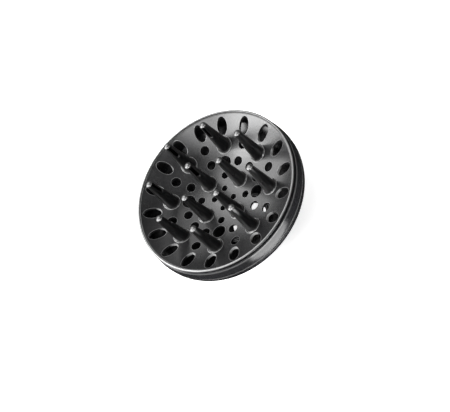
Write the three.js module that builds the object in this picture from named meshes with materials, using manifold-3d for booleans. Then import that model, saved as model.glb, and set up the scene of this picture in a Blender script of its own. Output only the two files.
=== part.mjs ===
// A hair dryer's diffuser: a perforated dish with twelve hollow air prongs, on a bell-shaped housing
// whose neck holds a swivel collar for the dryer's nozzle.
// Millimetres, +Z up. The origin is the centre of the collar's mouth, which is the lowest face.
import * as THREE from 'three';
import { mergeVertices } from 'three/addons/utils/BufferGeometryUtils.js';
import Module from 'manifold-3d';

const wasm = await Module();
wasm.setup();

// ---- Driving dimensions ----
const RIM_RADIUS = 82; // the face plate's lip, which is its outer edge
const RIM_HEIGHT = 78; // from the collar's mouth to the plane of the lip
const DISH_RADIUS = 167; // the sphere that the dish is part of
const PLATE = 2.4; // thickness of the dish
const WALL = 2.4; // thickness of the bell
const GAP = 0.3; // clearance between neighbouring pieces
const OVERCUT = 3; // how far a cutting tool runs past what it cuts

const PRONG_LENGTH = 43;
const PRONG_BASE = 6.5; // radii of the prong just above its foot and at its tip
const PRONG_BASE_HEIGHT = 3;
const PRONG_TIP = 3.2;
const OUTER_PRONGS = 8;
const OUTER_PRONG_CIRCLE = 52;
const INNER_PRONGS = 4;
const INNER_PRONG_CIRCLE = 23;

const NECK_RADIUS = 27.7; // the bell's lower end
const NECK_HEIGHT = 6.2;
const COLLAR_RADIUS = 25.4;
const BORE_RADIUS = 22; // the collar's bore, which the grip sleeve lines
const MOUTH_RADIUS = 18.9; // what the sleeve's first lip leaves open

const ROUND = 48; // sides of the large round pieces
const COLLAR_ROUND = 32;
const PRONG_ROUND = 12;
const DISH_RINGS = 5; // steps from the dish's centre to its edge

// ---- Materials ----
const plastic = (color, roughness) => new THREE.MeshStandardMaterial({ color, roughness, metalness: 0 });
const GRAPHITE = plastic(0x3a3b3d, 0.3);
const BLACK_SATIN = plastic(0x141415, 0.45);
const BLACK_GLOSS = plastic(0x1c1c1e, 0.2);
const RUBBER = plastic(0x0d0d0e, 0.85);

// ---- Solids ----

// The volume that a closed set of triangles holds; it is negative when they face inwards.
function signedVolume(position, triangles) {
  const corner = [0, 1, 2].map(() => new THREE.Vector3());
  let volume = 0;
  for (let i = 0; i < triangles.length; i += 3) {
    corner.forEach((point, k) => point.fromArray(position, 3 * triangles[i + k]));
    volume += corner[0].dot(corner[1].cross(corner[2])) / 6;
  }
  return volume;
}

// A closed three.js geometry as a solid that can be joined and cut.
function solid(geometry) {
  const shell = geometry.clone();
  shell.deleteAttribute('normal');
  shell.deleteAttribute('uv');
  const welded = mergeVertices(shell, 1e-4);
  const index = welded.index.array;
  const triangles = [];
  for (let i = 0; i < index.length; i += 3) {
    const [a, b, c] = index.slice(i, i + 3);
    if (a !== b && b !== c && c !== a) triangles.push(a, b, c);
  }
  const vertices = welded.attributes.position.array;
  if (signedVolume(vertices, triangles) < 0) triangles.reverse();
  const mesh = new wasm.Mesh({
    numProp: 3,
    vertProperties: new Float32Array(vertices),
    triVerts: new Uint32Array(triangles),
  });
  return new wasm.Manifold(mesh);
}

// A closed outline of [radius, height] points turned round the Z axis.
function revolve(outline, sides) {
  const points = outline.map(([radius, height]) => new THREE.Vector2(radius, height));
  const onAxis = outline[0][0] === 0 && outline.at(-1)[0] === 0;
  if (!onAxis) points.push(points[0].clone());
  return solid(new THREE.LatheGeometry(points, sides).rotateX(Math.PI / 2));
}

// A box from its lowest to its highest corner.
function block(low, high) {
  const size = low.map((value, axis) => high[axis] - value);
  const middle = low.map((value, axis) => (high[axis] + value) / 2);
  return solid(new THREE.BoxGeometry(...size).translate(...middle));
}

// A flat shape pushed straight up from one height to another.
function extrude(shape, bottom, top, curveSegments) {
  const geometry = new THREE.ExtrudeGeometry(shape, {
    depth: top - bottom,
    bevelEnabled: false,
    curveSegments,
  });
  return solid(geometry.translate(0, 0, bottom));
}

// A disc, or with a length an ellipse that lies along X, centred on the given point of the X axis.
function ovalShape(x, radius, length = 2 * radius) {
  const shape = new THREE.Shape();
  shape.absellipse(x, 0, length / 2, radius, 0, 2 * Math.PI);
  return shape;
}

function piece(name, body, material) {
  const { vertProperties, triVerts } = body.getMesh();
  const geometry = new THREE.BufferGeometry();
  geometry.setAttribute('position', new THREE.BufferAttribute(vertProperties, 3));
  geometry.setIndex(new THREE.BufferAttribute(triVerts, 1));
  geometry.computeVertexNormals();
  const mesh = new THREE.Mesh(geometry, material);
  mesh.name = name;
  return mesh;
}

const degrees = (angle) => THREE.MathUtils.degToRad(angle);
const steps = (count) => Array.from({ length: count }, (_, i) => i);

// ---- The dish ----
const DISH_CENTRE = RIM_HEIGHT + Math.sqrt(DISH_RADIUS ** 2 - RIM_RADIUS ** 2);

// Height of the dish's front at a radius, or of a sphere that lies behind it by some depth.
function dishHeight(radius, behind = 0) {
  return DISH_CENTRE - Math.sqrt((DISH_RADIUS + behind) ** 2 - radius ** 2);
}

// The dish's section, from the axis outwards.
function dishOutline(edge, behind = 0) {
  const radii = steps(DISH_RINGS + 1).map((i) => (edge * i) / DISH_RINGS);
  return radii.map((radius) => [radius, dishHeight(radius, behind)]);
}

const DISH_EDGE = RIM_RADIUS - 2.6; // where the lip's bead begins
const LIP = { crown: 0.1, slope: 0.8, chamfer: 0.6 }; // the bead's top stands crown above the rim's plane

// Rings of holes: how many, the first one's angle, their circle, radius and, on ovals, length.
const HOLE_RINGS = [
  { count: 18, first: 5, circle: 69.5, radius: 4.7, length: 14.8 },
  { count: 8, first: 22.5, circle: 53.3, radius: 4.3 },
  { count: 8, first: 22.5, circle: 37.5, radius: 4.1 },
  { count: 4, first: 0, circle: 37.7, radius: 4.1 },
  { count: 4, first: 45, circle: 35.7, radius: 6.1 },
  { count: 4, first: 45, circle: 23.2, radius: 3.3 },
  { count: 4, first: 45, circle: 10, radius: 2.7 },
];
const PRONG_RINGS = [
  { label: 'outer', count: OUTER_PRONGS, circle: OUTER_PRONG_CIRCLE },
  { label: 'inner', count: INNER_PRONGS, circle: INNER_PRONG_CIRCLE },
];
const SPIGOT_RADIUS = 4.6; // the prong's peg, which goes through the dish
const SPIGOT_BORE = 3.4;
const SPIGOT_REACH = 4; // how far the peg stands out behind the dish

const HOLE_HALF_SIDES = 6;

// Tools that punch the air holes and the prongs' peg holes.
function holeTools() {
  const pegHoles = PRONG_RINGS.map(({ count, circle }) => ({
    count,
    first: 0,
    circle,
    radius: SPIGOT_RADIUS + GAP,
  }));
  const tools = [...HOLE_RINGS, ...pegHoles].flatMap(({ count, first, circle, radius, length }) => {
    const bottom = dishHeight(circle, PLATE) - 2 * OVERCUT;
    const top = dishHeight(circle) + 2 * OVERCUT;
    const tool = extrude(ovalShape(circle, radius, length), bottom, top, HOLE_HALF_SIDES);
    return steps(count).map((i) => tool.rotate([0, 0, first + (360 * i) / count]));
  });
  return wasm.Manifold.union(tools);
}

// Where the face plate, its seal, the rim band and the housing meet.
const LIP_BOTTOM = RIM_HEIGHT - 1.2;
const SKIRT_RADIUS = 79; // the plate's skirt plugs into the housing's upstand
const SKIRT_WALL = 1.7;
const SKIRT_BOTTOM = 66;
const SEAL_HEIGHT = 2.1;
const SEAL_DEPTH = 1.7; // how far the seal lies behind the lip's edge
const BAND_TOP = LIP_BOTTOM - SEAL_HEIGHT - 2 * GAP;
const BAND_BOTTOM = 61.4;
const BAND_FLANGE = 1.2; // the band's flange hooks over the upstand
const BAND = { foot: 1.6, shoulder: 0.4, chamfer: 0.4 }; // how far it stands out past the lip, below and above
const UPSTAND_WALL = 1.6;
const UPSTAND_RADIUS = SKIRT_RADIUS + GAP + UPSTAND_WALL;
const UPSTAND_TOP = BAND_TOP - BAND_FLANGE - GAP;
const SNAPS = 6;
const SNAP = { width: 10, bottom: 67, top: 69, reach: 0.9 };

function facePlate() {
  const lipTop = RIM_HEIGHT + LIP.crown;
  const skirtInside = SKIRT_RADIUS - SKIRT_WALL;
  const outline = [
    ...dishOutline(DISH_EDGE),
    [DISH_EDGE + LIP.slope, lipTop],
    [RIM_RADIUS - LIP.chamfer, lipTop],
    [RIM_RADIUS, lipTop - LIP.chamfer],
    [RIM_RADIUS, LIP_BOTTOM],
    [SKIRT_RADIUS, LIP_BOTTOM],
    [SKIRT_RADIUS, SKIRT_BOTTOM],
    [skirtInside, SKIRT_BOTTOM],
    ...dishOutline(skirtInside, PLATE).reverse(),
  ];
  const lug = block(
    [SKIRT_RADIUS - SKIRT_WALL / 2, -SNAP.width / 2, SNAP.bottom],
    [SKIRT_RADIUS + SNAP.reach, SNAP.width / 2, SNAP.top],
  );
  const lugs = steps(SNAPS).map((i) => lug.rotate([0, 0, (360 * i) / SNAPS]));
  const plate = revolve(outline, ROUND).subtract(holeTools());
  return piece('face_plate', wasm.Manifold.union([plate, ...lugs]), GRAPHITE);
}

function jointSeal() {
  const inner = SKIRT_RADIUS + GAP;
  const outer = RIM_RADIUS - SEAL_DEPTH;
  const bottom = BAND_TOP + GAP;
  const top = bottom + SEAL_HEIGHT;
  const outline = [[inner, bottom], [outer, bottom], [outer, top], [inner, top]];
  return piece('joint_seal', revolve(outline, ROUND), RUBBER);
}

function rimBand() {
  const inner = UPSTAND_RADIUS + GAP;
  const flangeInner = SKIRT_RADIUS + GAP;
  const flangeBottom = BAND_TOP - BAND_FLANGE;
  const foot = RIM_RADIUS + BAND.foot;
  const shoulder = RIM_RADIUS + BAND.shoulder;
  const outline = [
    [flangeInner, BAND_TOP],
    [flangeInner, flangeBottom],
    [inner, flangeBottom],
    [inner, BAND_BOTTOM],
    [foot - BAND.chamfer, BAND_BOTTOM],
    [foot, BAND_BOTTOM + BAND.chamfer],
    [shoulder, BAND_TOP - 2 * BAND.chamfer],
    [shoulder - 2 * BAND.chamfer, BAND_TOP],
  ];
  return piece('rim_band', revolve(outline, ROUND), BLACK_GLOSS);
}

// ---- The housing ----
const BACK_EDGE = { radius: 80.3, height: 54.6 }; // where the bell meets the back tier
// The back tier's steps outwards, counted from the lip, and upwards, counted from the bell's edge.
const BACK_TIER = { step: 0.8, rise: 1, bulge: 1.8, bulgeRise: 3.2, shoulder: 1.2 };
const FLARE_TURN = 30; // degrees that the bell's outline turns through
const FLANGE_TOP = 8.4; // the neck's inward flange, which carries the swivel
const FLANGE_RADIUS = 24.2;

// The bell's outline is an arc, concave on the outside. Its centre lies outside and below.
const FLARE = (() => {
  const neck = new THREE.Vector2(NECK_RADIUS, NECK_HEIGHT);
  const edge = new THREE.Vector2(BACK_EDGE.radius, BACK_EDGE.height);
  const chord = edge.clone().sub(neck);
  const radius = chord.length() / 2 / Math.sin(degrees(FLARE_TURN / 2));
  const away = new THREE.Vector2(chord.y, -chord.x).normalize();
  const distance = radius * Math.cos(degrees(FLARE_TURN / 2));
  const centre = neck.clone().add(edge).divideScalar(2).addScaledVector(away, distance);
  return { centre, radius };
})();

// Radius of the bell at a height, on its outside or some depth inside the wall.
function flareRadius(height, inside = 0) {
  const rise = height - FLARE.centre.y;
  return FLARE.centre.x - Math.sqrt((FLARE.radius + inside) ** 2 - rise ** 2);
}

function flareOutline(bottom, top, count, inside = 0) {
  return steps(count + 1).map((i) => {
    const height = bottom + ((top - bottom) * i) / count;
    return [flareRadius(height, inside), height];
  });
}

function rearHousing() {
  const upstandInside = UPSTAND_RADIUS - UPSTAND_WALL;
  const shoulder = BAND_BOTTOM - GAP;
  const innerTop = 56.6; // where the bell's inside meets the upstand's
  const outline = [
    [FLANGE_RADIUS, NECK_HEIGHT],
    ...flareOutline(NECK_HEIGHT, BACK_EDGE.height, 6),
    [RIM_RADIUS + BACK_TIER.step, BACK_EDGE.height + BACK_TIER.rise],
    [RIM_RADIUS + BACK_TIER.bulge, BACK_EDGE.height + BACK_TIER.bulgeRise],
    [RIM_RADIUS + BACK_TIER.shoulder, shoulder],
    [UPSTAND_RADIUS, shoulder],
    [UPSTAND_RADIUS, UPSTAND_TOP],
    [upstandInside, UPSTAND_TOP],
    [upstandInside, innerTop + 1],
    ...flareOutline(FLANGE_TOP, innerTop, 5, WALL).reverse(),
    [FLANGE_RADIUS, FLANGE_TOP],
  ];
  const window = block(
    [upstandInside - OVERCUT, -SNAP.width / 2 - GAP, SNAP.bottom - GAP],
    [UPSTAND_RADIUS + OVERCUT, SNAP.width / 2 + GAP, SNAP.top + GAP],
  );
  const windows = steps(SNAPS).map((i) => window.rotate([0, 0, (360 * i) / SNAPS]));
  const shell = revolve(outline, ROUND).subtract(wasm.Manifold.union(windows));
  return piece('rear_housing', shell, BLACK_SATIN);
}

// ---- The swivel ----
const COLLAR_FLANGE = 4.2; // height of the collar's visible ring
const COLLAR_WAIST = 24.7; // radius in the groove under the neck
const BARREL_RADIUS = 23.9;
const BARREL_TOP = 11.5;
const RING_SEAT = { bottom: 8.5, top: 10.1, radius: 22.9 };
const O_RING = { height: 7.35, circle: 23.65, thickness: 0.38, seat: 23.1, seatHeight: 1 };

function swivelCollar() {
  const chamfer = 0.8;
  const oRingBottom = O_RING.height - O_RING.seatHeight / 2;
  const oRingTop = O_RING.height + O_RING.seatHeight / 2;
  const outline = [
    [BORE_RADIUS, 0],
    [COLLAR_RADIUS - chamfer, 0],
    [COLLAR_RADIUS, chamfer],
    [COLLAR_RADIUS, COLLAR_FLANGE - chamfer],
    [COLLAR_WAIST, COLLAR_FLANGE],
    [COLLAR_WAIST, NECK_HEIGHT - GAP],
    [BARREL_RADIUS, NECK_HEIGHT - GAP],
    [BARREL_RADIUS, oRingBottom],
    [O_RING.seat, oRingBottom],
    [O_RING.seat, oRingTop],
    [BARREL_RADIUS, oRingTop],
    [BARREL_RADIUS, RING_SEAT.bottom],
    [RING_SEAT.radius, RING_SEAT.bottom],
    [RING_SEAT.radius, RING_SEAT.top],
    [BARREL_RADIUS, RING_SEAT.top],
    [BARREL_RADIUS, BARREL_TOP],
    [BORE_RADIUS, BARREL_TOP],
  ];
  return piece('swivel_collar', revolve(outline, COLLAR_ROUND), BLACK_SATIN);
}

// A soft sleeve with lips that give way to the nozzle. Each lip stands in a little less than the last.
function gripSleeve() {
  const outside = BORE_RADIUS - GAP;
  const inside = 20.6;
  const bottom = 0.5;
  const count = 3;
  const pitch = 2.9;
  const easing = 0.6;
  const lip = { start: 0.1, under: 0.5, over: 1.1, end: 2.2 };
  const lips = steps(count).flatMap((i) => {
    const tip = MOUTH_RADIUS + easing * i;
    const height = bottom + pitch * i;
    return [
      [inside, height + lip.start],
      [tip, height + lip.under],
      [tip, height + lip.over],
      [inside, height + lip.end],
    ];
  });
  const top = bottom + count * pitch;
  const outline = [[outside, bottom], ...lips, [inside, top], [outside, top]];
  return piece('grip_sleeve', revolve(outline, COLLAR_ROUND), RUBBER);
}

function retainingRing() {
  const bottom = FLANGE_TOP + GAP;
  const top = RING_SEAT.top - GAP;
  const inner = RING_SEAT.radius + GAP;
  const outer = 25.6;
  const split = 5;
  const outline = [[inner, bottom], [outer, bottom], [outer, top], [inner, top]];
  const opening = block([0, -split / 2, bottom - OVERCUT], [outer + OVERCUT, split / 2, top + OVERCUT]);
  return piece('retaining_ring', revolve(outline, COLLAR_ROUND).subtract(opening), BLACK_SATIN);
}

function swivelORing() {
  const ring = new THREE.TorusGeometry(O_RING.circle, O_RING.thickness, 5, COLLAR_ROUND);
  return piece('swivel_o_ring', solid(ring.translate(0, 0, O_RING.height)), RUBBER);
}

// ---- The prongs ----

// One prong in its own frame: its axis is Z, its height counts from the dish, and +X points away
// from the diffuser's axis. The air slot faces -X. The foot is trimmed to the dish.
function prongSolid(circle) {
  const foot = { bottom: -5, radius: PRONG_BASE + 0.5, height: 0.6 };
  const tipBevel = 0.8;
  const cap = 1.6;
  const straight = 8; // the bore narrows from this height up
  const tipWall = 1.3;
  const body = revolve(
    [
      [0, foot.bottom],
      [foot.radius, foot.bottom],
      [foot.radius, foot.height],
      [PRONG_BASE, PRONG_BASE_HEIGHT],
      [PRONG_TIP, PRONG_LENGTH - tipBevel],
      [PRONG_TIP - tipBevel, PRONG_LENGTH],
      [0, PRONG_LENGTH],
    ],
    PRONG_ROUND,
  );
  const seat = dishHeight(circle);
  const above = seat + 2 * PRONG_LENGTH;
  const dish = revolve([...dishOutline(DISH_EDGE, -GAP), [DISH_EDGE, above], [0, above]], ROUND)
    .translate([-circle, 0, -seat]);
  const pegBottom = dishHeight(circle, PLATE) - seat - SPIGOT_REACH;
  const pegTop = PRONG_BASE_HEIGHT + 1; // inside the body
  const peg = revolve(
    [[0, pegBottom], [SPIGOT_RADIUS, pegBottom], [SPIGOT_RADIUS, pegTop], [0, pegTop]],
    PRONG_ROUND,
  );
  const bore = revolve(
    [
      [0, pegBottom - OVERCUT],
      [SPIGOT_BORE, pegBottom - OVERCUT],
      [SPIGOT_BORE, straight],
      [PRONG_TIP - tipWall, PRONG_LENGTH - cap],
      [0, PRONG_LENGTH - cap],
    ],
    PRONG_ROUND,
  );
  return body.intersect(dish).add(peg).subtract(bore).subtract(airSlot(cap));
}

// The tool for the prong's air slot, a tall window with a round bottom that starts below the cap.
function airSlot(cap) {
  const halfWidth = 1.7;
  const length = 15.5;
  const slotTop = PRONG_LENGTH - cap;
  const shape = new THREE.Shape();
  shape.moveTo(slotTop, -halfWidth);
  shape.lineTo(slotTop, halfWidth);
  shape.absarc(slotTop - length, 0, halfWidth, Math.PI / 2, 1.5 * Math.PI);
  shape.closePath();
  const depth = PRONG_BASE + OVERCUT;
  const geometry = new THREE.ExtrudeGeometry(shape, { depth, bevelEnabled: false, curveSegments: 4 });
  return solid(geometry.rotateY(-Math.PI / 2));
}

function prongs() {
  return PRONG_RINGS.flatMap(({ label, count, circle }) => {
    const body = prongSolid(circle);
    return steps(count).map((i) => {
      const angle = (2 * Math.PI * i) / count;
      const prong = piece(`prong_${label}_${i + 1}`, body, BLACK_SATIN);
      prong.position.set(circle * Math.cos(angle), circle * Math.sin(angle), dishHeight(circle));
      prong.rotation.z = angle;
      return prong;
    });
  });
}

// ---- The diffuser ----
const diffuser = new THREE.Group();
const head = new THREE.Group();
head.add(facePlate(), jointSeal(), rimBand(), rearHousing(), ...prongs());
const coupling = new THREE.Group();
coupling.add(swivelCollar(), gripSleeve(), retainingRing(), swivelORing());
diffuser.add(head, coupling);

export default diffuser;
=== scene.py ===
"""The look of a hair dryer's diffuser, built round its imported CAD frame.

Metres, +Z up along the prongs. The origin is the centre of the collar's mouth.
"""
import math

import bmesh
import bpy
import numpy as np
from mathutils import Matrix, Quaternion, Vector
from mathutils.geometry import delaunay_2d_cdt


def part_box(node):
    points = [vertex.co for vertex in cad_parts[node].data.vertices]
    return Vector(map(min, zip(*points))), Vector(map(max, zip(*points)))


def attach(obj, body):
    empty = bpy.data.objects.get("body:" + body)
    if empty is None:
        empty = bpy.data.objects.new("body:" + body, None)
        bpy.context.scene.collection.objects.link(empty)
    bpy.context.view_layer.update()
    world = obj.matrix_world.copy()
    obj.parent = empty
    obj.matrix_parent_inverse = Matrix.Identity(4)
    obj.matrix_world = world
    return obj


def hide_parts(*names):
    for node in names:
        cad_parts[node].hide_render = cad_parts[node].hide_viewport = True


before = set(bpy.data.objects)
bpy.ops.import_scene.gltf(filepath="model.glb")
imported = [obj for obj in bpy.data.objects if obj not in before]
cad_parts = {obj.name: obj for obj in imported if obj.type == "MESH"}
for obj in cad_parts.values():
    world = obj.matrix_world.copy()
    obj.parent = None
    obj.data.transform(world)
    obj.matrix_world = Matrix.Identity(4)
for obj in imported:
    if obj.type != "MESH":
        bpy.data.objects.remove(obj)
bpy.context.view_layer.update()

MM = 0.001
TAU = 2 * math.pi

# ---- Sizes, in millimetres ----
# Heights and radii that the frame gives.
PLATE_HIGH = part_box("face_plate")[1] / MM
SEAL_LOW, SEAL_HIGH = [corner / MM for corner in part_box("joint_seal")]
BAND_LOW, BAND_HIGH = [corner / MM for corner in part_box("rim_band")]
HOUSING_LOW, HOUSING_HIGH = [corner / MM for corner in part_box("rear_housing")]
COLLAR_LOW, COLLAR_HIGH = [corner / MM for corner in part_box("swivel_collar")]
SLEEVE_LOW, SLEEVE_HIGH = [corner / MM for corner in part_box("grip_sleeve")]
RING_LOW, RING_HIGH = [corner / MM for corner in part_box("retaining_ring")]
O_RING_LOW, O_RING_HIGH = [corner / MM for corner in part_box("swivel_o_ring")]

LIP_CROWN = 0.1  # how far the lip's top stands above the plane of the rim
RIM_RADIUS = PLATE_HIGH.x
RIM_HEIGHT = PLATE_HIGH.z - LIP_CROWN
GAP = 0.3  # between neighbouring pieces
SEAM = 0.12  # the finer gap that shows between fitted pieces
HAIR = 0.01  # keeps the lowest edges inside the frame's box

DISH_RADIUS = 167
DISH_CENTRE = RIM_HEIGHT + math.sqrt(DISH_RADIUS**2 - RIM_RADIUS**2)
DISH_EDGE = RIM_RADIUS - 2.6
PLATE = 2.4
SKIRT_RADIUS = 79
SKIRT_WALL = 1.7
SKIRT_BOTTOM = 66
LIP_BOTTOM = RIM_HEIGHT - 1.2
LIP_RISE_WIDTH = 0.35  # the lip's bead leaves the dish with a short slope
LIP_RISE_HEIGHT = 0.16
LIP_TOP_WIDTH = 0.8  # how far outside the dish's edge the bead's top lies
LIP_SLOPE = 0.45  # outside its top the bead slopes down by this, and stops this far inside the rim
LIP_SHOULDER = 0.8  # the lip's upright side begins this far below its top
LIP_TOP_DEPTH = 0.15  # what counts as the bead's top, and as its slope, below the highest point
LIP_SLOPE_DEPTH = 0.7
# The lip's bead top and slope are polished and lightened by a painted highlight, this much.
LIP_TOP_WEAR_AND_HIGHLIGHT = 1.0
LIP_SLOPE_WEAR_AND_HIGHLIGHT = 0.12

# Rings of holes: how many, the first one's angle, their circle, radius and, on ovals, length.
HOLE_RINGS = [
    {"count": 18, "first": 5, "circle": 69.5, "radius": 4.7, "length": 14.8},
    {"count": 8, "first": 22.5, "circle": 53.3, "radius": 4.3},
    {"count": 8, "first": 22.5, "circle": 37.5, "radius": 4.1},
    {"count": 4, "first": 0, "circle": 37.7, "radius": 4.1},
    {"count": 4, "first": 45, "circle": 35.7, "radius": 6.1},
    {"count": 4, "first": 45, "circle": 23.2, "radius": 3.3},
    {"count": 4, "first": 45, "circle": 10, "radius": 2.7},
]
PRONG_RINGS = [
    {"label": "outer", "count": 8, "circle": 52},
    {"label": "inner", "count": 4, "circle": 23},
]
SPIGOT_RADIUS = 4.6
SPIGOT_BORE = 3.4
SPIGOT_REACH = 4  # how far a prong's peg stands out behind the dish
OVAL_DRAFT = 0.55  # how far a hole's edge at the front of the dish lies outside its edge at the back
ROUND_DRAFT = 0.35
OVAL_SCOOP = 0.75  # the inner ends of the ovals slope more
HOLE_DRAFT_DEPTH = 1.9
SOFT_DEPTH = 0.2  # how deep a hole's softened edge reaches
SOFT_SHARE = 0.85  # the share of its outset that is left there
OVAL_GLINT_START = 0.4  # how far towards an oval's inner end its wall begins to carry a painted glint, from 0 to 1
OVAL_GLINT_GAIN = 3
HOLE_WALL_STEPS = 5
OVAL_SIDES = 56
HOLE_SIDES = 40
SEAT_RADIUS = 8.3  # the low bead that rings each prong's foot on the plate
SEAT_WIDTH = 0.9
SEAT_HEIGHT = 0.4
SEAT_STEPS = 8
POINT_STEP = 2.6  # between the loose points of the dish
COLLAR_WIDTH = 0.5  # from a hole to the even row of points round it, and to the nearest loose points
CLEAR_WIDTH = 1.5

UPSTAND_WALL = 1.6
UPSTAND_RADIUS = SKIRT_RADIUS + GAP + UPSTAND_WALL
BAND_FLANGE = 1.2
BAND_FOOT = 1.58  # how far the band stands out past the lip, below and above
BAND_SHOULDER = 0.4
BAND_CHAMFER = 0.6
BAND_END = 1.5  # where the bulge between the band's ends begins and stops
BAND_BULGE = 1.8  # the power that shapes the bulge; 1 would be a straight side
BAND_STEPS = [k / 8 for k in range(1, 8)]
SNAPS = 6
SNAP = {"width": 10, "bottom": 67, "top": 69, "reach": 0.9}

WALL = 2.4
NECK_RADIUS = 27.7
BACK_EDGE_RADIUS = 80.3
BACK_EDGE_HEIGHT = 54.6
# The back tier's lower corners: how far out from the lip, how far up from the bell's edge, and the fillet.
TIER_CORNERS = [(0.5, 1.0, 0.5), (1.3, 3.6, 2.0)]
TIER_TOP = 1.5  # how far the tier's top edge stands out past the lip
FLARE_TURN = 30  # degrees
FLANGE_RADIUS = 24.2
FLANGE_TOP = 8.4
INNER_TOP = 56.6
HOUSING_SHOULDER = BAND_LOW.z - GAP

BORE_RADIUS = 22
COLLAR_FLANGE = 4.2
COLLAR_WAIST = 24.7
BARREL_RADIUS = 23.9
O_RING_SEAT_HEIGHTS = (6.85, 7.85)
O_RING_SEAT_RADIUS = 23.1
O_RING_CIRCLE = 23.65
O_RING_TUBE = 0.38
RING_SEAT_RADIUS = 22.9
RING_OUTER = 25.6
RING_SPLIT = 5
LIPS = 3
LIP_PITCH = 2.9
LIP_EASING = 0.6  # each lip stands in a little less than the last
LINING_RADIUS = 20.6
MOUTH_RADIUS = 18.9

PRONG_LENGTH = 42.99
PRONG_BASE = 6.65  # radii of the straight taper at the dish and at the tip
PRONG_TIP = 3.15
FOOT_FLARE = 0.7  # how far the foot's flange stands out
FLANGE_HEIGHT = 0.8
COVE_HEIGHT = 0.8
FOOT_EDGE = 0.3
FLANGE_MARGIN = 0.03  # the flange gets polish and a painted highlight from this far inside its top edge outwards
FOOT_SLOPE_HEIGHT = 8  # where the foot's tilt, which follows the dish, has faded out
TIP_FLAT = 1.3  # the radius of the tip's flat end, inside its chamfer
TIP_SLOPE = math.radians(33)
BORE_STRAIGHT = 8
BORE_TOP = 41.7
BORE_TIP = 1.9
SLOT_HALF = 1.7
SLOT_TOP = 41
SLOT_BOTTOM = 25.9
SLOT_CORNER = 0.4
SLOT_FILLET = 0.35

ROUND = 240  # sides of the large round pieces
COLLAR_ROUND = 160
PRONG_ROUND = 72
# Heights of a prong's rows of points: close together at the foot, and even from SLOT_ROWS_START to the tip.
FOOT_ROWS = [FOOT_EDGE, 0.45, 0.65, 0.8, 0.9, 1.05, 1.25, 1.5, 1.6, 2.0]
WALL_ROWS = [2.5, 3.4, 4.6, 6, 7.5, 10, 13, 16, 19, 21.5]
SLOT_ROWS_START = 23
SLOT_ROWS = 20


# ---- Mesh helpers ----
def polar(radius, angle, height=0.0):
    return (radius * math.cos(angle), radius * math.sin(angle), height)


def rounded(outline, steps=5):
    """An outline's corners made round. A corner is (radius, height, fillet), or (radius, height) if sharp."""
    points = []
    for i, corner in enumerate(outline):
        here = Vector(corner[:2])
        fillet = corner[2] if len(corner) > 2 else 0
        if not fillet:
            points.append((corner[0], corner[1]))
            continue
        back = Vector(outline[i - 1][:2]) - here
        ahead = Vector(outline[(i + 1) % len(outline)][:2]) - here
        half = back.angle(ahead) / 2
        reach = min(fillet / math.tan(half), 0.49 * back.length, 0.49 * ahead.length)
        radius = reach * math.tan(half)
        middle = (back.normalized() + ahead.normalized()).normalized()
        centre = here + middle * (radius / math.sin(half))
        start = here + back.normalized() * reach - centre
        end = here + ahead.normalized() * reach - centre
        turn = start.angle_signed(end)
        for k in range(steps + 1):
            points.append(tuple(centre + Matrix.Rotation(-turn * k / steps, 2) @ start))
    return points


class MeshMaker:
    """Collects vertices, in millimetres, and faces. A vertex's wear says how rubbed and polished its edge is,
    and how much lighter painted highlight it gets.
    """

    def __init__(self):
        self.vertices = []
        self.faces = []
        self.edge_wear_and_highlight = []

    def add(self, points, wear_and_highlight=0.0):
        first = len(self.vertices)
        self.vertices.extend(points)
        self.edge_wear_and_highlight.extend([wear_and_highlight] * len(points))
        return list(range(first, first + len(points)))

    def bridge(self, ring_a, ring_b):
        """Quads between two closed rings with as many vertices; a ring of one vertex makes a fan."""
        count = max(len(ring_a), len(ring_b))
        for i in range(count):
            j = (i + 1) % count
            corners = [ring_a[i % len(ring_a)], ring_a[j % len(ring_a)]]
            corners += [ring_b[j % len(ring_b)], ring_b[i % len(ring_b)]]
            self.faces.append(tuple(dict.fromkeys(corners)))

    def revolve(self, outline, sides, closed=True):
        """Turns an outline of (radius, height) points round Z and returns its rings."""
        angles = [TAU * k / sides for k in range(sides)]
        rings = []
        for radius, height in outline:
            if radius < 1e-6:
                rings.append(self.add([(0, 0, height)]))
            else:
                rings.append(self.add([polar(radius, a, height) for a in angles]))
        for ring_a, ring_b in zip(rings, rings[1:]):
            self.bridge(ring_a, ring_b)
        if closed and len(rings[0]) > 1:
            self.bridge(rings[-1], rings[0])
        return rings

    def finish(self, name, sharp=35):
        mesh = bpy.data.meshes.new(name)
        scaled = [tuple(c * MM for c in v) for v in self.vertices]
        mesh.from_pydata(scaled, [], self.faces)
        wear_and_highlight = mesh.attributes.new("edge_wear_and_highlight", "FLOAT", "POINT")
        wear_and_highlight.data.foreach_set("value", self.edge_wear_and_highlight)
        edit = bmesh.new()
        edit.from_mesh(mesh)
        bmesh.ops.remove_doubles(edit, verts=edit.verts, dist=1e-7)
        bmesh.ops.recalc_face_normals(edit, faces=edit.faces)
        edit.to_mesh(mesh)
        edit.free()
        mesh.shade_smooth()
        mesh.set_sharp_from_angle(angle=math.radians(sharp))
        return mesh


def place(name, mesh, material, body, replaced, matrix=None):
    """Puts a finished mesh in the scene as the piece that stands for a CAD node."""
    piece = bpy.data.objects.new(name, mesh)
    bpy.context.scene.collection.objects.link(piece)
    if matrix is not None:
        piece.matrix_world = matrix
    if not mesh.materials:
        mesh.materials.append(material)
    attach(piece, body)
    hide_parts(replaced)
    return piece


def inside_any(outlines, points):
    """Tells which flat points lie inside any of the outlines, by counting the sides to the right of each."""
    found = np.zeros(len(points), bool)
    for outline in outlines:
        start = np.array(outline)
        end = np.roll(start, -1, axis=0)
        low, high = start.min(axis=0), start.max(axis=0)
        near = np.flatnonzero(((points > low) & (points < high)).all(axis=1))
        x, y = points[near, :1], points[near, 1:]
        across = (start[:, 1] > y) != (end[:, 1] > y)
        rise = np.where(start[:, 1] == end[:, 1], 1.0, end[:, 1] - start[:, 1])
        meets = start[:, 0] + (y - start[:, 1]) / rise * (end[:, 0] - start[:, 0])
        found[near] |= (across & (x < meets)).sum(axis=1) % 2 == 1
    return found


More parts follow.
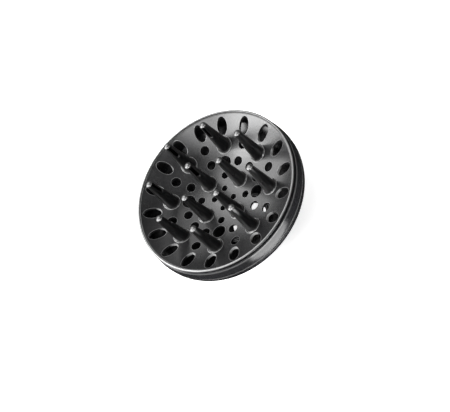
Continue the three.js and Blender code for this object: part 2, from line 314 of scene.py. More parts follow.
def patch(maker, boundary, holes, inner, lift):
    """Triangulates a flat outline with holes and lifts it into space.

    boundary and each hole are closed lists of flat points, and inner is a list of loose flat points. Returns
    the vertex rings of the boundary and the holes.
    """
    flat = [Vector(p) for p in boundary]
    loops = [list(range(len(boundary)))]
    for hole in holes:
        loops.append(list(range(len(flat), len(flat) + len(hole))))
        flat.extend(Vector(p) for p in hole)
    flat.extend(Vector(p) for p in inner)
    edges = [(loop[i], loop[(i + 1) % len(loop)]) for loop in loops for i in range(len(loop))]
    made, _, triangles, sources, _, _ = delaunay_2d_cdt(flat, edges, [], 0, 1e-6)
    triangles = np.array(triangles)
    plane = np.array([tuple(p) for p in made])
    middles = plane[triangles].mean(axis=1)
    kept = triangles[~inside_any(holes, middles)]
    new_index = {}
    for i, given in enumerate(sources):
        for g in given:
            new_index[g] = i
    vertices = maker.add([lift(x, y) for x, y in plane])
    maker.faces.extend(tuple(vertices[c] for c in triangle) for triangle in kept)
    return [[vertices[new_index[i]] for i in loop] for loop in loops]


# ---- The face plate ----
def dish_height(radius, behind=0.0):
    """Height of the dish's front at a radius, or of a sphere that lies behind it by some depth."""
    return DISH_CENTRE - math.sqrt((DISH_RADIUS + behind) ** 2 - radius**2)


def oval(hole, outset, scoop=0.0):
    """Outline of a hole, pushed out by outset along its normals, and by scoop more at its inner end."""
    count = hole["sides"]
    half_length, half_width = hole["length"] / 2, hole["radius"]
    turn = Matrix.Rotation(hole["angle"], 2)
    points = []
    for k in range(count):
        t = TAU * k / count
        normal = Vector((half_width * math.cos(t), half_length * math.sin(t))).normalized()
        reach = outset + scoop * max(0.0, -math.cos(t)) ** 2
        x = hole["circle"] + half_length * math.cos(t) + reach * normal.x
        y = half_width * math.sin(t) + reach * normal.y
        points.append(tuple(turn @ Vector((x, y))))
    return points


def drafted_edge(size):
    """A hole's front edge as (outset, rise, wear) points: softened, then a wall that slopes in. The wear
    value lightens the soft rim: a painted highlight, with polish.
    """
    wall = SOFT_SHARE * size
    soft = [(size, 0.0, 0.45), (0.92 * size, -0.05, 0.4), (wall, -SOFT_DEPTH, 0.1)]
    steps = [k / HOLE_WALL_STEPS for k in range(1, HOLE_WALL_STEPS + 1)]
    return soft + [(wall * (1 - t), -SOFT_DEPTH - (HOLE_DRAFT_DEPTH - SOFT_DEPTH) * t, 0.0) for t in steps]


def seat_edge(hole_radius):
    """A prong's seat as (outset, rise, wear) points: a low bead round the foot, then flat to the peg hole.
    The wear value paints a highlight crescent along the bead.
    """
    start = SEAT_RADIUS - hole_radius
    bead = []
    for k in range(SEAT_STEPS + 1):
        t = k / SEAT_STEPS
        bulge = math.sin(math.pi * t)
        bead.append((start - SEAT_WIDTH * t, SEAT_HEIGHT * bulge**1.5, bulge))
    return bead + [(0.1, 0.0, 0.0), (0.0, -0.1, 0.0)]


def all_holes():
    """Every air hole and peg hole of the dish, with the section of its front edge."""
    rings = []
    for ring in HOLE_RINGS:
        rings.append(dict(ring, edge=drafted_edge(OVAL_DRAFT if "length" in ring else ROUND_DRAFT)))
    for ring in PRONG_RINGS:
        peg = {"radius": SPIGOT_RADIUS + GAP, "first": 0, "edge": seat_edge(SPIGOT_RADIUS + GAP)}
        rings.append(dict(peg, count=ring["count"], circle=ring["circle"]))
    holes = []
    for ring in rings:
        for i in range(ring["count"]):
            angle = math.radians(ring["first"]) + TAU * i / ring["count"]
            if "length" in ring:
                holes.append(dict(ring, angle=angle, scoop=OVAL_SCOOP, sides=OVAL_SIDES))
            else:
                width = 2 * ring["radius"]
                holes.append(dict(ring, angle=angle, length=width, scoop=0.0, sides=HOLE_SIDES))
    return holes


def dish_points(edge, step, outlines):
    """Loose points on circles across the dish, none of them inside an outline."""
    points = [(0.0, 0.0)]
    rows = round(edge / step)
    for row in range(1, rows):
        radius = edge * row / rows
        count = 6 * row
        points += [polar(radius, TAU * (k + row % 2 / 2) / count)[:2] for k in range(count)]
    points = np.array(points)
    return [tuple(p) for p in points[~inside_any(outlines, points)]]


def face_plate():
    maker = MeshMaker()
    holes = all_holes()
    inner_skirt = SKIRT_RADIUS - SKIRT_WALL

    def surface(behind):
        return lambda x, y: (x, y, dish_height(math.hypot(x, y), behind))

    def sheet(edge, behind, outset, scoop):
        """One side of the dish, with a row of even points round each hole to keep the shading smooth."""
        boundary = [polar(edge, TAU * k / ROUND)[:2] for k in range(ROUND)]
        outlines = [oval(hole, outset(hole), scoop(hole)) for hole in holes]
        collars = [p for hole in holes for p in oval(hole, outset(hole) + COLLAR_WIDTH, scoop(hole))]
        limit = edge - 0.4  # keeps them off the boundary
        collars = [p for p in collars if math.hypot(*p) < limit]
        surrounds = [oval(hole, outset(hole) + CLEAR_WIDTH, scoop(hole)) for hole in holes]
        inner = dish_points(edge, POINT_STEP, surrounds) + collars
        return patch(maker, boundary, outlines, inner, surface(behind))

    front = sheet(DISH_EDGE, 0.0, lambda hole: hole["edge"][0][0], lambda hole: hole["scoop"])
    back = sheet(inner_skirt, PLATE, lambda hole: 0.0, lambda hole: 0.0)

    # Each hole's edge rings take the lighter colour from its section: painted highlight rims round the holes
    # and on the prong seats' beads.
    for hole, top, bottom in zip(holes, front[1:], back[1:]):
        last = top
        for v in top:
            maker.edge_wear_and_highlight[v] = hole["edge"][0][2]
        for outset, rise, wear_and_highlight in hole["edge"][1:]:
            outline = oval(hole, outset, hole["scoop"] * outset / hole["edge"][0][0])
            ring = maker.add([(x, y, dish_height(math.hypot(x, y)) + rise) for x, y in outline], wear_and_highlight)
            # A painted glint: the walls at the ovals' inner ends get the lighter colour.
            if hole["scoop"]:
                for k, v in enumerate(ring):
                    inner_end_glint = max(0.0, -math.cos(TAU * k / hole["sides"]) - OVAL_GLINT_START)
                    maker.edge_wear_and_highlight[v] = max(wear_and_highlight, min(1.0, OVAL_GLINT_GAIN * inner_end_glint))
            maker.bridge(last, ring)
            last = ring
        maker.bridge(last, bottom)

    # The lip's bead, its outside and the skirt, from the dish's edge round to the dish's back.
    crease = dish_height(DISH_EDGE)
    outline = rounded(
        [
            (DISH_EDGE, crease),
            (DISH_EDGE + LIP_RISE_WIDTH, crease + LIP_RISE_HEIGHT),
            (DISH_EDGE + LIP_TOP_WIDTH, PLATE_HIGH.z, 0.4),
            (RIM_RADIUS - LIP_SLOPE, PLATE_HIGH.z - LIP_SLOPE, 0.3),
            (RIM_RADIUS, PLATE_HIGH.z - LIP_SHOULDER, 0.3),
            (RIM_RADIUS, LIP_BOTTOM, 0.2),
            (SKIRT_RADIUS, LIP_BOTTOM, 0.2),
            (SKIRT_RADIUS, SKIRT_BOTTOM, 0.4),
            (inner_skirt, SKIRT_BOTTOM, 0.3),
            (inner_skirt, dish_height(inner_skirt, PLATE)),
        ]
    )
    rings = maker.revolve(outline, ROUND, closed=False)
    # The bead's top and slope get the lighter colour: a painted highlight line round the rim.
    for ring, (radius, height) in zip(rings, outline):
        if height > PLATE_HIGH.z - LIP_SLOPE_DEPTH and radius > DISH_EDGE + 0.3:
            for v in ring:
                maker.edge_wear_and_highlight[v] = LIP_TOP_WEAR_AND_HIGHLIGHT if height > PLATE_HIGH.z - LIP_TOP_DEPTH else LIP_SLOPE_WEAR_AND_HIGHLIGHT

    for i in range(SNAPS):
        snap_lug(maker, TAU * i / SNAPS)
    return maker.finish("face_plate_look")


def snap_lug(maker, angle):
    """A ramped lug on the skirt that clicks into the housing's window."""
    turn = Matrix.Rotation(angle, 3, "Z")
    half = SNAP["width"] / 2
    inside = SKIRT_RADIUS - 1
    section = [
        (inside, SNAP["bottom"]),
        (SKIRT_RADIUS + 0.3, SNAP["bottom"]),
        (SKIRT_RADIUS + SNAP["reach"], SNAP["bottom"] + 0.9),
        (SKIRT_RADIUS + SNAP["reach"], SNAP["top"]),
        (inside, SNAP["top"]),
    ]
    ends = [maker.add([tuple(turn @ Vector((x, y, z))) for x, z in section]) for y in (-half, half)]
    maker.bridge(*ends)
    maker.faces += [tuple(ends[0]), tuple(ends[1])]


# ---- The rim and the housing ----
def joint_seal():
    maker = MeshMaker()
    low, high = SEAL_LOW.z, SEAL_HIGH.z
    inner, outer = SKIRT_RADIUS + GAP, SEAL_HIGH.x
    bulge = 0.25
    maker.revolve(
        rounded(
            [
                (inner, low, 0.3),
                (outer - bulge, low, 0.4),
                (outer, (low + high) / 2, 0.5),
                (outer - bulge, high, 0.4),
                (inner, high, 0.3),
            ]
        ),
        ROUND,
    )
    return maker.finish("joint_seal_look")


def rim_band():
    maker = MeshMaker()
    top, bottom = BAND_HIGH.z, BAND_LOW.z
    inner = UPSTAND_RADIUS + GAP
    flange_inner = SKIRT_RADIUS + GAP
    flange_bottom = top - BAND_FLANGE
    foot, shoulder = RIM_RADIUS + BAND_FOOT, RIM_RADIUS + BAND_SHOULDER
    span = top - bottom - 2 * BAND_END
    side = [(foot - (foot - shoulder) * t**BAND_BULGE, bottom + BAND_END + span * t) for t in BAND_STEPS]
    outline = rounded(
        [
            (flange_inner, top, 0.2),
            (flange_inner, flange_bottom),
            (inner, flange_bottom),
            (inner, bottom),
            (RIM_RADIUS + 1.1, bottom, 0.15),
            (foot, bottom + BAND_CHAMFER, 0.5),
            *side,
            (shoulder, top - BAND_CHAMFER, 0.6),
            (RIM_RADIUS - 0.35, top, 0.5),
        ]
    )
    rings = maker.revolve(outline, ROUND)
    # The band's outer edges, at top and bottom, are polished and lightened by a painted highlight line.
    for ring, (radius, height) in zip(rings, outline):
        if radius > shoulder - 0.15 and not bottom + 1.2 < height < top - 1.0:
            for v in ring:
                maker.edge_wear_and_highlight[v] = 1.0
    return maker.finish("rim_band_look")


def flare_arc():
    """Centre and radius of the bell's outline, which is an arc that turns through FLARE_TURN."""
    neck = Vector((NECK_RADIUS, HOUSING_LOW.z))
    edge = Vector((BACK_EDGE_RADIUS, BACK_EDGE_HEIGHT))
    chord = edge - neck
    half = math.radians(FLARE_TURN / 2)
    radius = chord.length / 2 / math.sin(half)
    away = Vector((chord.y, -chord.x)).normalized()
    return (neck + edge) / 2 + away * radius * math.cos(half), radius


def flare(bottom, top, count, inside=0.0):
    centre, radius = flare_arc()
    heights = [bottom + (top - bottom) * i / count for i in range(count + 1)]
    return [(centre.x - math.sqrt((radius + inside) ** 2 - (h - centre.y) ** 2), h) for h in heights]


def rear_housing():
    maker = MeshMaker()
    upstand_inside = UPSTAND_RADIUS - UPSTAND_WALL
    shoulder = HOUSING_SHOULDER
    low, top = HOUSING_LOW.z, HOUSING_HIGH.z
    window_low, window_high = SNAP["bottom"] - GAP, SNAP["top"] + GAP
    bell = flare(low, BACK_EDGE_HEIGHT, 40)
    lining = flare(FLANGE_TOP, INNER_TOP, 30, WALL)
    outline = rounded(
        [
            (FLANGE_RADIUS, low, 0.3),
            (bell[0][0], low, 0.5),
            *bell[1:-1],
            (bell[-1][0], BACK_EDGE_HEIGHT, 0.4),
            *[(RIM_RADIUS + out, BACK_EDGE_HEIGHT + up, fillet) for out, up, fillet in TIER_CORNERS],
            (RIM_RADIUS + TIER_TOP, shoulder, 0.5),
            (UPSTAND_RADIUS, shoulder),
            (UPSTAND_RADIUS, window_low),
            (UPSTAND_RADIUS, window_high),
            (UPSTAND_RADIUS, top, 0.4),
            (upstand_inside, top, 0.4),
            (upstand_inside, window_high),
            (upstand_inside, window_low),
            (upstand_inside, INNER_TOP + 1),
            *reversed(lining),
            (FLANGE_RADIUS, FLANGE_TOP, 0.3),
        ]
    )
    first_face = len(maker.faces)
    rings = maker.revolve(outline, ROUND)
    cut_windows(maker, outline, rings, first_face, upstand_inside, window_low, window_high)
    return maker.finish("rear_housing_look")


def cut_windows(maker, outline, rings, first_face, inside, low, high):
    """Opens the snap windows: the upstand's two faces go from each and its cut edges are joined."""
    half = math.ceil(ROUND * math.atan((SNAP["width"] / 2 + GAP) / UPSTAND_RADIUS) / TAU)
    outer_low = outline.index((UPSTAND_RADIUS, low))
    inner_high = outline.index((inside, high))
    walls = {outer_low, inner_high}
    opened = {(ROUND * i // SNAPS + k) % ROUND for i in range(SNAPS) for k in range(-half, half)}
    doomed = {first_face + ring * ROUND + side for ring in walls for side in opened}
    maker.faces = [face for i, face in enumerate(maker.faces) if i not in doomed]
    below, above = rings[outer_low], rings[outer_low + 1]
    above_in, below_in = rings[inner_high], rings[inner_high + 1]
    for i in range(SNAPS):
        sides = [(ROUND * i // SNAPS + k) % ROUND for k in range(-half, half + 1)]
        for a, b in zip(sides, sides[1:]):
            maker.faces.append((below[a], below[b], below_in[b], below_in[a]))
            maker.faces.append((above[a], above[b], above_in[b], above_in[a]))
        for a in (sides[0], sides[-1]):
            maker.faces.append((below[a], above[a], above_in[a], below_in[a]))


# ---- The swivel ----
def swivel_collar():
    maker = MeshMaker()
    waist_top = HOUSING_LOW.z - GAP
    o_ring_low, o_ring_high = O_RING_SEAT_HEIGHTS
    ring_low, ring_high = RING_LOW.z - 0.2, RING_HIGH.z + GAP
    maker.revolve(
        rounded(
            [
                (BORE_RADIUS, COLLAR_LOW.z + HAIR, 0.5),
                (COLLAR_HIGH.x, COLLAR_LOW.z + HAIR, 0.9),
                (COLLAR_HIGH.x, COLLAR_FLANGE, 0.9),
                (COLLAR_WAIST, COLLAR_FLANGE, 0.25),
                (COLLAR_WAIST, waist_top, 0.3),
                (BARREL_RADIUS, waist_top),
                (BARREL_RADIUS, o_ring_low, 0.1),
                (O_RING_SEAT_RADIUS, o_ring_low, 0.1),
                (O_RING_SEAT_RADIUS, o_ring_high, 0.1),
                (BARREL_RADIUS, o_ring_high, 0.1),
                (BARREL_RADIUS, ring_low, 0.1),
                (RING_SEAT_RADIUS, ring_low),
                (RING_SEAT_RADIUS, ring_high),
                (BARREL_RADIUS, ring_high, 0.1),
                (BARREL_RADIUS, COLLAR_HIGH.z, 0.4),
                (BORE_RADIUS, COLLAR_HIGH.z, 0.4),
            ]
        ),
        COLLAR_ROUND,
    )
    return maker.finish("swivel_collar_look")


def grip_sleeve():
    maker = MeshMaker()
    bottom, top, outside = SLEEVE_LOW.z + HAIR, SLEEVE_HIGH.z, SLEEVE_HIGH.x
    outline = [(outside, bottom, 0.3)]
    for i in range(LIPS):
        height = bottom + LIP_PITCH * i
        tip = MOUTH_RADIUS + LIP_EASING * i
        outline += [
            (LINING_RADIUS, height + 0.05, 0.15),
            (tip + 0.2, height + 0.4, 0.3),
            (tip, height + 0.95, 0.3),
            (LINING_RADIUS - 0.25, height + 1.7, 0.5),
            (LINING_RADIUS, height + 2.3, 0.3),
        ]
    outline += [(LINING_RADIUS, top, 0.2), (outside, top, 0.3)]
    maker.revolve(rounded(outline), COLLAR_ROUND)
    return maker.finish("grip_sleeve_look")


def retaining_ring():
    """A split spring ring, open by RING_SPLIT on the +X side."""
    maker = MeshMaker()
    inner, outer = RING_SEAT_RADIUS + GAP, RING_OUTER
    low, high = RING_LOW.z, RING_HIGH.z
    section = rounded([(inner, low, 0.15), (outer, low, 0.25), (outer, high, 0.25), (inner, high, 0.15)])
    gap_angle = math.asin(RING_SPLIT / 2 / outer)
    sides = COLLAR_ROUND - 4  # the gap takes up the rest
    sweep = TAU - 2 * gap_angle
    angles = [gap_angle + sweep * k / sides for k in range(sides + 1)]
    sections = [maker.add([polar(radius, angle, height) for radius, height in section]) for angle in angles]
    for one, two in zip(sections, sections[1:]):
        maker.bridge(one, two)
    maker.faces += [tuple(sections[0]), tuple(sections[-1])]
    return maker.finish("retaining_ring_look")


def swivel_o_ring():
    maker = MeshMaker()
    middle = (O_RING_LOW.z + O_RING_HIGH.z) / 2
    turns = [TAU * k / 20 for k in range(20)]
    tube = O_RING_TUBE
    outline = [(O_RING_CIRCLE + tube * math.cos(t), middle + tube * math.sin(t)) for t in turns]
    maker.revolve(outline, COLLAR_ROUND)
    return maker.finish("swivel_o_ring_look")


# ---- The prongs ----
def prong_radius(height):
    """Outer radius of a prong at a height above its seat: a sloping flange, a cove and a straight taper."""
    taper = PRONG_BASE + (PRONG_TIP - PRONG_BASE) * height / PRONG_LENGTH
    slope = min(max((height - FOOT_EDGE) / (FLANGE_HEIGHT - FOOT_EDGE), 0), 1)
    cove = min(max((height - FLANGE_HEIGHT) / COVE_HEIGHT, 0), 1)
    return taper + FOOT_FLARE * (1 - 0.75 * slope) - 0.25 * FOOT_FLARE * math.sin(math.pi / 2 * cove)


def prong_tip():
    """The height where a prong's taper ends, and the (radius, height) rings of its chamfered tip."""
    low = PRONG_LENGTH - (PRONG_TIP - TIP_FLAT) * math.tan(TIP_SLOPE)
    start = low - 1
    edge = (prong_radius(low), low, 0.5)
    flat = (TIP_FLAT, PRONG_LENGTH, 0.8)
    outline = rounded([(0, start), (prong_radius(start), start), edge, flat, (0, PRONG_LENGTH)])
    return outline[2][1], outline[3:-1]


def bore_radius(height):
    share = min(max((height - BORE_STRAIGHT) / (BORE_TOP - BORE_STRAIGHT), 0), 1)
    return SPIGOT_BORE + (BORE_TIP - SPIGOT_BORE) * share


def slot_outline(outset):
    """The air slot seen square on, as (across, height) points. Every outset has as many points."""
    half = SLOT_HALF + outset
    corner = SLOT_CORNER + outset
    top = SLOT_TOP + outset
    points = []
    bottom_steps, side_steps, corner_steps = 16, 9, 5
    for k in range(bottom_steps + 1):
        t = math.pi * (1 + k / bottom_steps)
        points.append((half * math.cos(t), SLOT_BOTTOM + half * math.sin(t)))
    side_top = top - corner
    for k in range(1, side_steps):
        points.append((half, SLOT_BOTTOM + (side_top - SLOT_BOTTOM) * k / side_steps))
    for k in range(corner_steps + 1):
        t = math.pi / 2 * k / corner_steps
        points.append((half - corner + corner * math.cos(t), side_top + corner * math.sin(t)))
    return points + [(-across, height) for across, height in points[:bottom_steps:-1]]


def tube_patch(maker, radius_at, lift_height, heights, slot, sides):
    """A tube's wall with the slot's hole in it. Returns its bottom ring, its top ring and the slot's ring."""
    unroll = 5.0  # keeps the flat triangles well shaped
    clear = 0.45  # loose points keep this far from the slot

    def flat(across, height):
        return (unroll * (math.pi + math.asin(across / radius_at(height))), height)

    low, high = heights[0], heights[-1]
    width = TAU * unroll
    columns = [width * k / sides for k in range(sides + 1)]
    boundary = [(u, low) for u in columns[:-1]] + [(width, h) for h in heights[:-1]]
    boundary += [(u, high) for u in reversed(columns[1:])] + [(0.0, h) for h in reversed(heights[1:])]
    outline = [flat(*p) for p in slot]
    half_step = width / sides / 2
    inner = [(u + half_step * (i % 2), h) for i, h in enumerate(heights[1:-1]) for u in columns[1:-1]]
    inner = np.array(inner)
    away = np.linalg.norm(inner[:, None] - np.array(outline)[None], axis=2).min(axis=1)
    inner = [tuple(p) for p in inner[~inside_any([outline], inner) & (away > clear)]]

    def lift(u, height):
        angle = u / unroll
        radius = radius_at(height)
        return (radius * math.cos(angle), radius * math.sin(angle), lift_height(angle, height))

    rings = patch(maker, boundary, [outline], inner, lift)
    outer = rings[0]
    top_start = sides + len(heights) - 1
    top = outer[top_start : top_start + sides]
    return outer[:sides], top[:1] + top[:0:-1], rings[1]


def prong(circle, label):
    """One prong in its own frame: Z is its axis, heights count from the dish, +X points outwards."""
    maker = MeshMaker()
    seat = dish_height(circle)

    def slope(angle, radius):
        """How much higher than at the prong's axis the dish is, at a point round the foot."""
        x, y = circle + radius * math.cos(angle), radius * math.sin(angle)
        return dish_height(math.hypot(x, y)) - seat

    def sloped(angle, height):
        fade = max(0.0, 1 - (height - FOOT_EDGE) / FOOT_SLOPE_HEIGHT)
        return height + fade * fade * slope(angle, prong_radius(height))

    shoulder, tip = prong_tip()
    heights = FOOT_ROWS + WALL_ROWS + list(np.linspace(SLOT_ROWS_START, shoulder, SLOT_ROWS))
    outside = slot_outline(SLOT_FILLET)
    foot, top, slot = tube_patch(maker, prong_radius, sloped, heights, outside, PRONG_ROUND)

    # The foot's flange is polished and lightened: a painted highlight crescent round each prong's foot.
    for v, (x, y, _) in enumerate(maker.vertices):
        if math.hypot(x, y) > prong_radius(FLANGE_HEIGHT) - FLANGE_MARGIN:
            maker.edge_wear_and_highlight[v] = 1.0

    # The chamfered tip, polished, with a lighter painted highlight.
    angles = [TAU * k / PRONG_ROUND for k in range(PRONG_ROUND)]
    last = top
    for radius, height in tip:
        ring = maker.add([polar(radius, a, height) for a in angles], 1.0)
        maker.bridge(last, ring)
        last = ring
    maker.bridge(last, maker.add([(0, 0, PRONG_LENGTH)], 1.0))

    # The foot's rounded edge, its underside, and the peg down to the bore.
    peg_bottom = dish_height(circle, PLATE) - seat - SPIGOT_REACH
    last = foot
    foot_radius = prong_radius(FOOT_EDGE)
    for k in range(1, 4):
        t = math.pi / 2 * k / 3
        radius = foot_radius - FOOT_EDGE * (1 - math.cos(t))
        rise = SEAM + (FOOT_EDGE - SEAM) * (1 - math.sin(t))
        ring = maker.add([polar(radius, a, slope(a, radius) + rise) for a in angles])
        maker.bridge(last, ring)
        last = ring
    ring = maker.add([polar(SPIGOT_RADIUS, a, slope(a, SPIGOT_RADIUS) + SEAM) for a in angles])
    maker.bridge(last, ring)
    last = ring
    peg = [(SPIGOT_RADIUS, 0), (SPIGOT_RADIUS, peg_bottom, 0.5), (SPIGOT_BORE, peg_bottom, 0.3)]
    for radius, height in rounded(peg, 3)[1:]:
        ring = maker.add([polar(radius, a, height) for a in angles])
        maker.bridge(last, ring)
        last = ring

    # The bore and its end.
    bore_heights = [peg_bottom + 0.3, -2, 3, BORE_STRAIGHT, 13, 18] + list(np.linspace(22.5, BORE_TOP, 16))
    inside = slot_outline(0)
    start, end, slot_in = tube_patch(maker, bore_radius, lambda a, h: h, bore_heights, inside, PRONG_ROUND)
    maker.bridge(last, start)
    maker.bridge(end, maker.add([(0, 0, BORE_TOP + 0.1)]))

    # The slot's rounded edge, polished and lighter with a painted highlight, and its walls.
    last = slot
    steps = 4
    for k in range(1, steps + 1):
        t = math.pi / 2 * k / steps
        outset = SLOT_FILLET * (1 - math.sin(t))
        drop = SLOT_FILLET * (1 - math.cos(t))
        points = [(-math.sqrt((prong_radius(h) - drop) ** 2 - y * y), -y, h) for y, h in slot_outline(outset)]
        ring = maker.add(points, 0.9)
        maker.bridge(last, ring)
        last = ring
    maker.bridge(last, slot_in)
    return maker.finish(f"prong_{label}_look")


# ---- Materials ----
class NodeBook:
    """A material's node tree, with short calls to add and join nodes."""

    def __init__(self, name):
        self.material = bpy.data.materials.new(name)
        self.material.use_nodes = True
        self.tree = self.material.node_tree
        self.shader = self.tree.nodes["Principled BSDF"]
        self.place = self.add("ShaderNodeTexCoord").outputs["Object"]

    def add(self, kind, **settings):
        node = self.tree.nodes.new(kind)
        for key, value in settings.items():
            setattr(node, key, value)
        return node

    def join(self, source, target):
        self.tree.links.new(source, target)

    def noise(self, scale, detail=3.0, rough=0.5, stretch=None):
        """Noise with features of about 1/scale metres. stretch gives each axis its own factor."""
        vector = self.place
        if stretch:
            mapping = self.add("ShaderNodeMapping")
            mapping.inputs["Scale"].default_value = stretch
            self.join(vector, mapping.inputs["Vector"])
            vector = mapping.outputs["Vector"]
        node = self.add("ShaderNodeTexNoise")
        node.inputs["Scale"].default_value = scale
        node.inputs["Detail"].default_value = detail
        node.inputs["Roughness"].default_value = rough
        self.join(vector, node.inputs["Vector"])
        return node.outputs["Fac"]

    def spread(self, value, low, high, start=0.3, end=0.7):
        """Maps a value that runs from start to end onto low to high."""
        node = self.add("ShaderNodeMapRange")
        node.inputs["From Min"].default_value = start
        node.inputs["From Max"].default_value = end
        node.inputs["To Min"].default_value = low
        node.inputs["To Max"].default_value = high
        self.join(value, node.inputs["Value"])
        return node.outputs["Result"]

    def sum(self, a, b, operation="ADD"):
        node = self.add("ShaderNodeMath", operation=operation)
        for value, socket in zip((a, b), node.inputs):
            if isinstance(value, (int, float)):
                socket.default_value = value
            else:
                self.join(value, socket)
        return node.outputs["Value"]

    def mix_colours(self, fac, a, b):
        node = self.add("ShaderNodeMix", data_type="RGBA")
        self.join(fac, node.inputs["Factor"])
        for value, socket in ((a, node.inputs[6]), (b, node.inputs[7])):
            if isinstance(value, tuple):
                socket.default_value = (*value, 1)
            else:
                self.join(value, socket)
        return node.outputs[2]

    def bump(self, height, distance, strength, under=None):
        node = self.add("ShaderNodeBump")
        node.inputs["Distance"].default_value = distance
        node.inputs["Strength"].default_value = strength
        self.join(height, node.inputs["Height"])
        if under:
            self.join(under, node.inputs["Normal"])
        return node.outputs["Normal"]

    def attribute(self, name):
        return self.add("ShaderNodeAttribute", attribute_name=name).outputs["Fac"]


def moulded_plastic(name, colour, pale, rough, grain, worn_rough, wear_and_highlight_colour, specular=0.5):
    """Moulded plastic: cloudy tone, uneven gloss, a fine grain, faint flow lines and polished edges.

    colour and pale are its darkest and lightest tone, rough the lowest and highest roughness, and grain the
    depth of its texture in metres. The wear colour is the lighter colour mixed in at marked edges: a painted
    highlight, where the edges are also polished.
    """
    book = NodeBook(name)
    clouds = book.noise(28, 4)
    mottle = book.noise(260, 3)
    tone = book.mix_colours(book.spread(book.sum(clouds, mottle), 0, 1, 0.75, 1.25), colour, pale)
    wear_and_highlight = book.attribute("edge_wear_and_highlight")
    # Marked edges take the lighter colour: a painted highlight, with real polish in the roughness.
    book.join(book.mix_colours(wear_and_highlight, tone, wear_and_highlight_colour), book.shader.inputs["Base Color"])

    gloss = book.spread(book.noise(75, 5, 0.6), rough[0], rough[1])
    polished = book.add("ShaderNodeMix", data_type="FLOAT")
    book.join(wear_and_highlight, polished.inputs[0])
    book.join(gloss, polished.inputs[2])
    polished.inputs[3].default_value = worn_rough
    book.join(polished.outputs[0], book.shader.inputs["Roughness"])

    waves = book.bump(book.noise(90, 2), 0.0001, 0.12)
    fine = book.bump(book.noise(2600, 2, 0.6), grain, 0.5, waves)
    book.join(fine, book.shader.inputs["Normal"])
    book.shader.inputs["Specular IOR Level"].default_value = specular
    book.shader.inputs["IOR"].default_value = 1.52
    return book.material


def rubber(name):
    book = NodeBook(name)
    bloom = book.spread(book.noise(120, 5, 0.65), 0, 1, 0.35, 0.75)
    tone = book.mix_colours(bloom, (0.008, 0.008, 0.009), (0.017, 0.017, 0.018))
    book.join(tone, book.shader.inputs["Base Color"])
    book.join(book.spread(book.noise(400, 3), 0.68, 0.85), book.shader.inputs["Roughness"])
    book.join(book.bump(book.noise(1800, 3, 0.6), 0.00004, 0.7), book.shader.inputs["Normal"])
    book.shader.inputs["Specular IOR Level"].default_value = 0.35
    return book.material


# The lighter edge colours here are painted highlights on rims, lips, feet, tips and slots.
GRAPHITE = moulded_plastic(
    "graphite_plate",
    colour=(0.012, 0.012, 0.0125),
    pale=(0.018, 0.018, 0.0185),
    rough=(0.22, 0.28),
    grain=0.000008,
    worn_rough=0.18,
    wear_and_highlight_colour=(0.28, 0.28, 0.28),
    specular=0.75,
)
PRONG_BLACK = moulded_plastic(
    "black_prong",
    colour=(0.0028, 0.0028, 0.003),
    pale=(0.005, 0.005, 0.0054),
    rough=(0.27, 0.34),
    grain=0.000008,
    worn_rough=0.12,
    wear_and_highlight_colour=(0.05, 0.05, 0.05),
    specular=0.8,
)
GLOSS_BLACK = moulded_plastic(
    "black_gloss",
    colour=(0.011, 0.011, 0.012),
    pale=(0.016, 0.016, 0.018),
    rough=(0.2, 0.26),
    grain=0.000003,
    worn_rough=0.18,
    wear_and_highlight_colour=(0.10, 0.10, 0.10),
    specular=0.3,
)
HOUSING_BLACK = moulded_plastic(
    "black_housing",
    colour=(0.009, 0.009, 0.010),
    pale=(0.014, 0.014, 0.015),
    rough=(0.17, 0.23),
    grain=0.000008,
    worn_rough=0.18,
    wear_and_highlight_colour=(0.03, 0.03, 0.031),
)
RUBBER = rubber("soft_rubber")

# ---- The diffuser ----
place("face_plate_piece", face_plate(), GRAPHITE, "head", "face_plate")
place("joint_seal_piece", joint_seal(), RUBBER, "head", "joint_seal")
place("rim_band_piece", rim_band(), GLOSS_BLACK, "head", "rim_band")
place("rear_housing_piece", rear_housing(), HOUSING_BLACK, "head", "rear_housing")
place("swivel_collar_piece", swivel_collar(), HOUSING_BLACK, "coupling", "swivel_collar")
place("grip_sleeve_piece", grip_sleeve(), RUBBER, "coupling", "grip_sleeve")
place("retaining_ring_piece", retaining_ring(), HOUSING_BLACK, "coupling", "retaining_ring")
place("swivel_o_ring_piece", swivel_o_ring(), RUBBER, "coupling", "swivel_o_ring")
for ring in PRONG_RINGS:
    shared = prong(ring["circle"], ring["label"])
    for i in range(ring["count"]):
        angle = TAU * i / ring["count"]
        spot = Vector(polar(ring["circle"], angle, dish_height(ring["circle"]))) * MM
        matrix = Matrix.Translation(spot) @ Matrix.Rotation(angle, 4, "Z")
        node = f"prong_{ring['label']}_{i + 1}"
        place(f"{node}_piece", shared, PRONG_BLACK, "head", node, matrix)

# ---- The studio ----
FLOOR_GLOW = 0.8


def floor():
    """A pale matt floor that runs out of sight on every side. It glows a little, as a light table does."""
    maker = MeshMaker()
    maker.revolve([(radius, 0.0) for radius in (0, 300, 1500, 6000)], 64, closed=False)
    mesh = maker.finish("floor")
    book = NodeBook("pale_floor")
    grain = book.spread(book.noise(9, 3), 0, 1)
    tone = book.mix_colours(grain, (0.80, 0.80, 0.80), (0.83, 0.83, 0.83))
    book.join(tone, book.shader.inputs["Base Color"])
    book.shader.inputs["Roughness"].default_value = 0.7
    book.shader.inputs["Emission Color"].default_value = (1, 1, 1, 1)
    book.shader.inputs["Emission Strength"].default_value = FLOOR_GLOW
    mesh.materials.append(book.material)
    piece = bpy.data.objects.new("floor", mesh)
    bpy.context.scene.collection.objects.link(piece)
    piece.visible_glossy = False  # black plastic mirrors the dark studio, not the floor


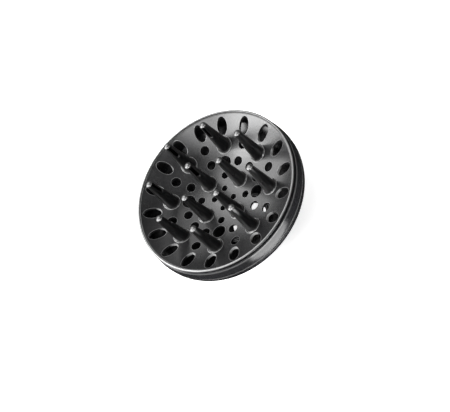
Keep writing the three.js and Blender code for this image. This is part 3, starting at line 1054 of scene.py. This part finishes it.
def softbox(name, azimuth, elevation, distance, size, power, aim=(0.0, 0.0, 0.07), shape="RECTANGLE"):
    """A soft area light that looks at the aim. Azimuth counts from +X towards +Y, in degrees."""
    light = bpy.data.lights.new(name, "AREA")
    light.shape = shape
    light.size, light.size_y = size
    light.energy = power
    lamp = bpy.data.objects.new(name, light)
    bpy.context.scene.collection.objects.link(lamp)
    azimuth, elevation = math.radians(azimuth), math.radians(elevation)
    away = Vector(polar(math.cos(elevation), azimuth, math.sin(elevation)))
    lamp.location = Vector(aim) + away * distance
    lamp.rotation_mode = "QUATERNION"
    lamp.rotation_quaternion = away.to_track_quat("Z", "Y")
    lamp.visible_camera = False


floor()
softbox("key", 150, 35, 1.5, (0.97, 1.27), 37)
softbox("side", 110, 40, 1.5, (0.9, 1.3), 14)
softbox("back", 75, 45, 1.5, (0.8, 1.0), 3.5)
softbox("top", 190, 68, 1.5, (0.9, 0.5), 6)
softbox("left", 189, 44, 1.5, (0.6, 0.35), 7)
softbox("front_top", 242, 60, 1.5, (0.7, 0.35), 8)
softbox("front_right", 320, 58, 1.5, (0.5, 0.35), 2.5)
softbox("low_front", 270, -85, 0.057, (0.135, 0.07), 0.22, aim=(-0.003, -0.160, 0.062), shape="ELLIPSE")

world = bpy.data.worlds.new("studio")
world.use_nodes = True
nodes, links = world.node_tree.nodes, world.node_tree.links
dim = nodes["Background"]
dim.inputs["Color"].default_value = (1, 1, 1, 1)
dim.inputs["Strength"].default_value = 0.03
backdrop = nodes.new("ShaderNodeBackground")  # a white wall behind, which the lights alone do not show
backdrop.inputs["Color"].default_value = (1, 1, 1, 1)
either = nodes.new("ShaderNodeMixShader")
links.new(nodes.new("ShaderNodeLightPath").outputs["Is Camera Ray"], either.inputs["Fac"])
links.new(dim.outputs["Background"], either.inputs[1])
links.new(backdrop.outputs["Background"], either.inputs[2])
links.new(either.outputs["Shader"], nodes["World Output"].inputs["Surface"])
bpy.context.scene.world = world
bpy.context.scene.view_settings.view_transform = "Standard"

# ---- The camera ----
CAMERA_TARGET = Vector((-0.0046, -0.0099, 0.060))
CAMERA_DISTANCE = 1.0068
CAMERA_AZIMUTH = math.radians(2.97)
CAMERA_ELEVATION = math.radians(52.04)
CAMERA_ROLL = math.radians(-49.92)
camera_data = bpy.data.cameras.new("camera")
camera_data.lens = 86.75
camera_data.sensor_width = 36
camera = bpy.data.objects.new("camera", camera_data)
bpy.context.scene.collection.objects.link(camera)
away = Vector(
    (
        math.sin(CAMERA_AZIMUTH) * math.cos(CAMERA_ELEVATION),
        -math.cos(CAMERA_AZIMUTH) * math.cos(CAMERA_ELEVATION),
        math.sin(CAMERA_ELEVATION),
    )
)
camera.location = CAMERA_TARGET + away * CAMERA_DISTANCE
camera.rotation_mode = "QUATERNION"
camera.rotation_quaternion = (-away).to_track_quat("-Z", "Y") @ Quaternion((0, 0, 1), CAMERA_ROLL)
bpy.context.scene.camera = camera
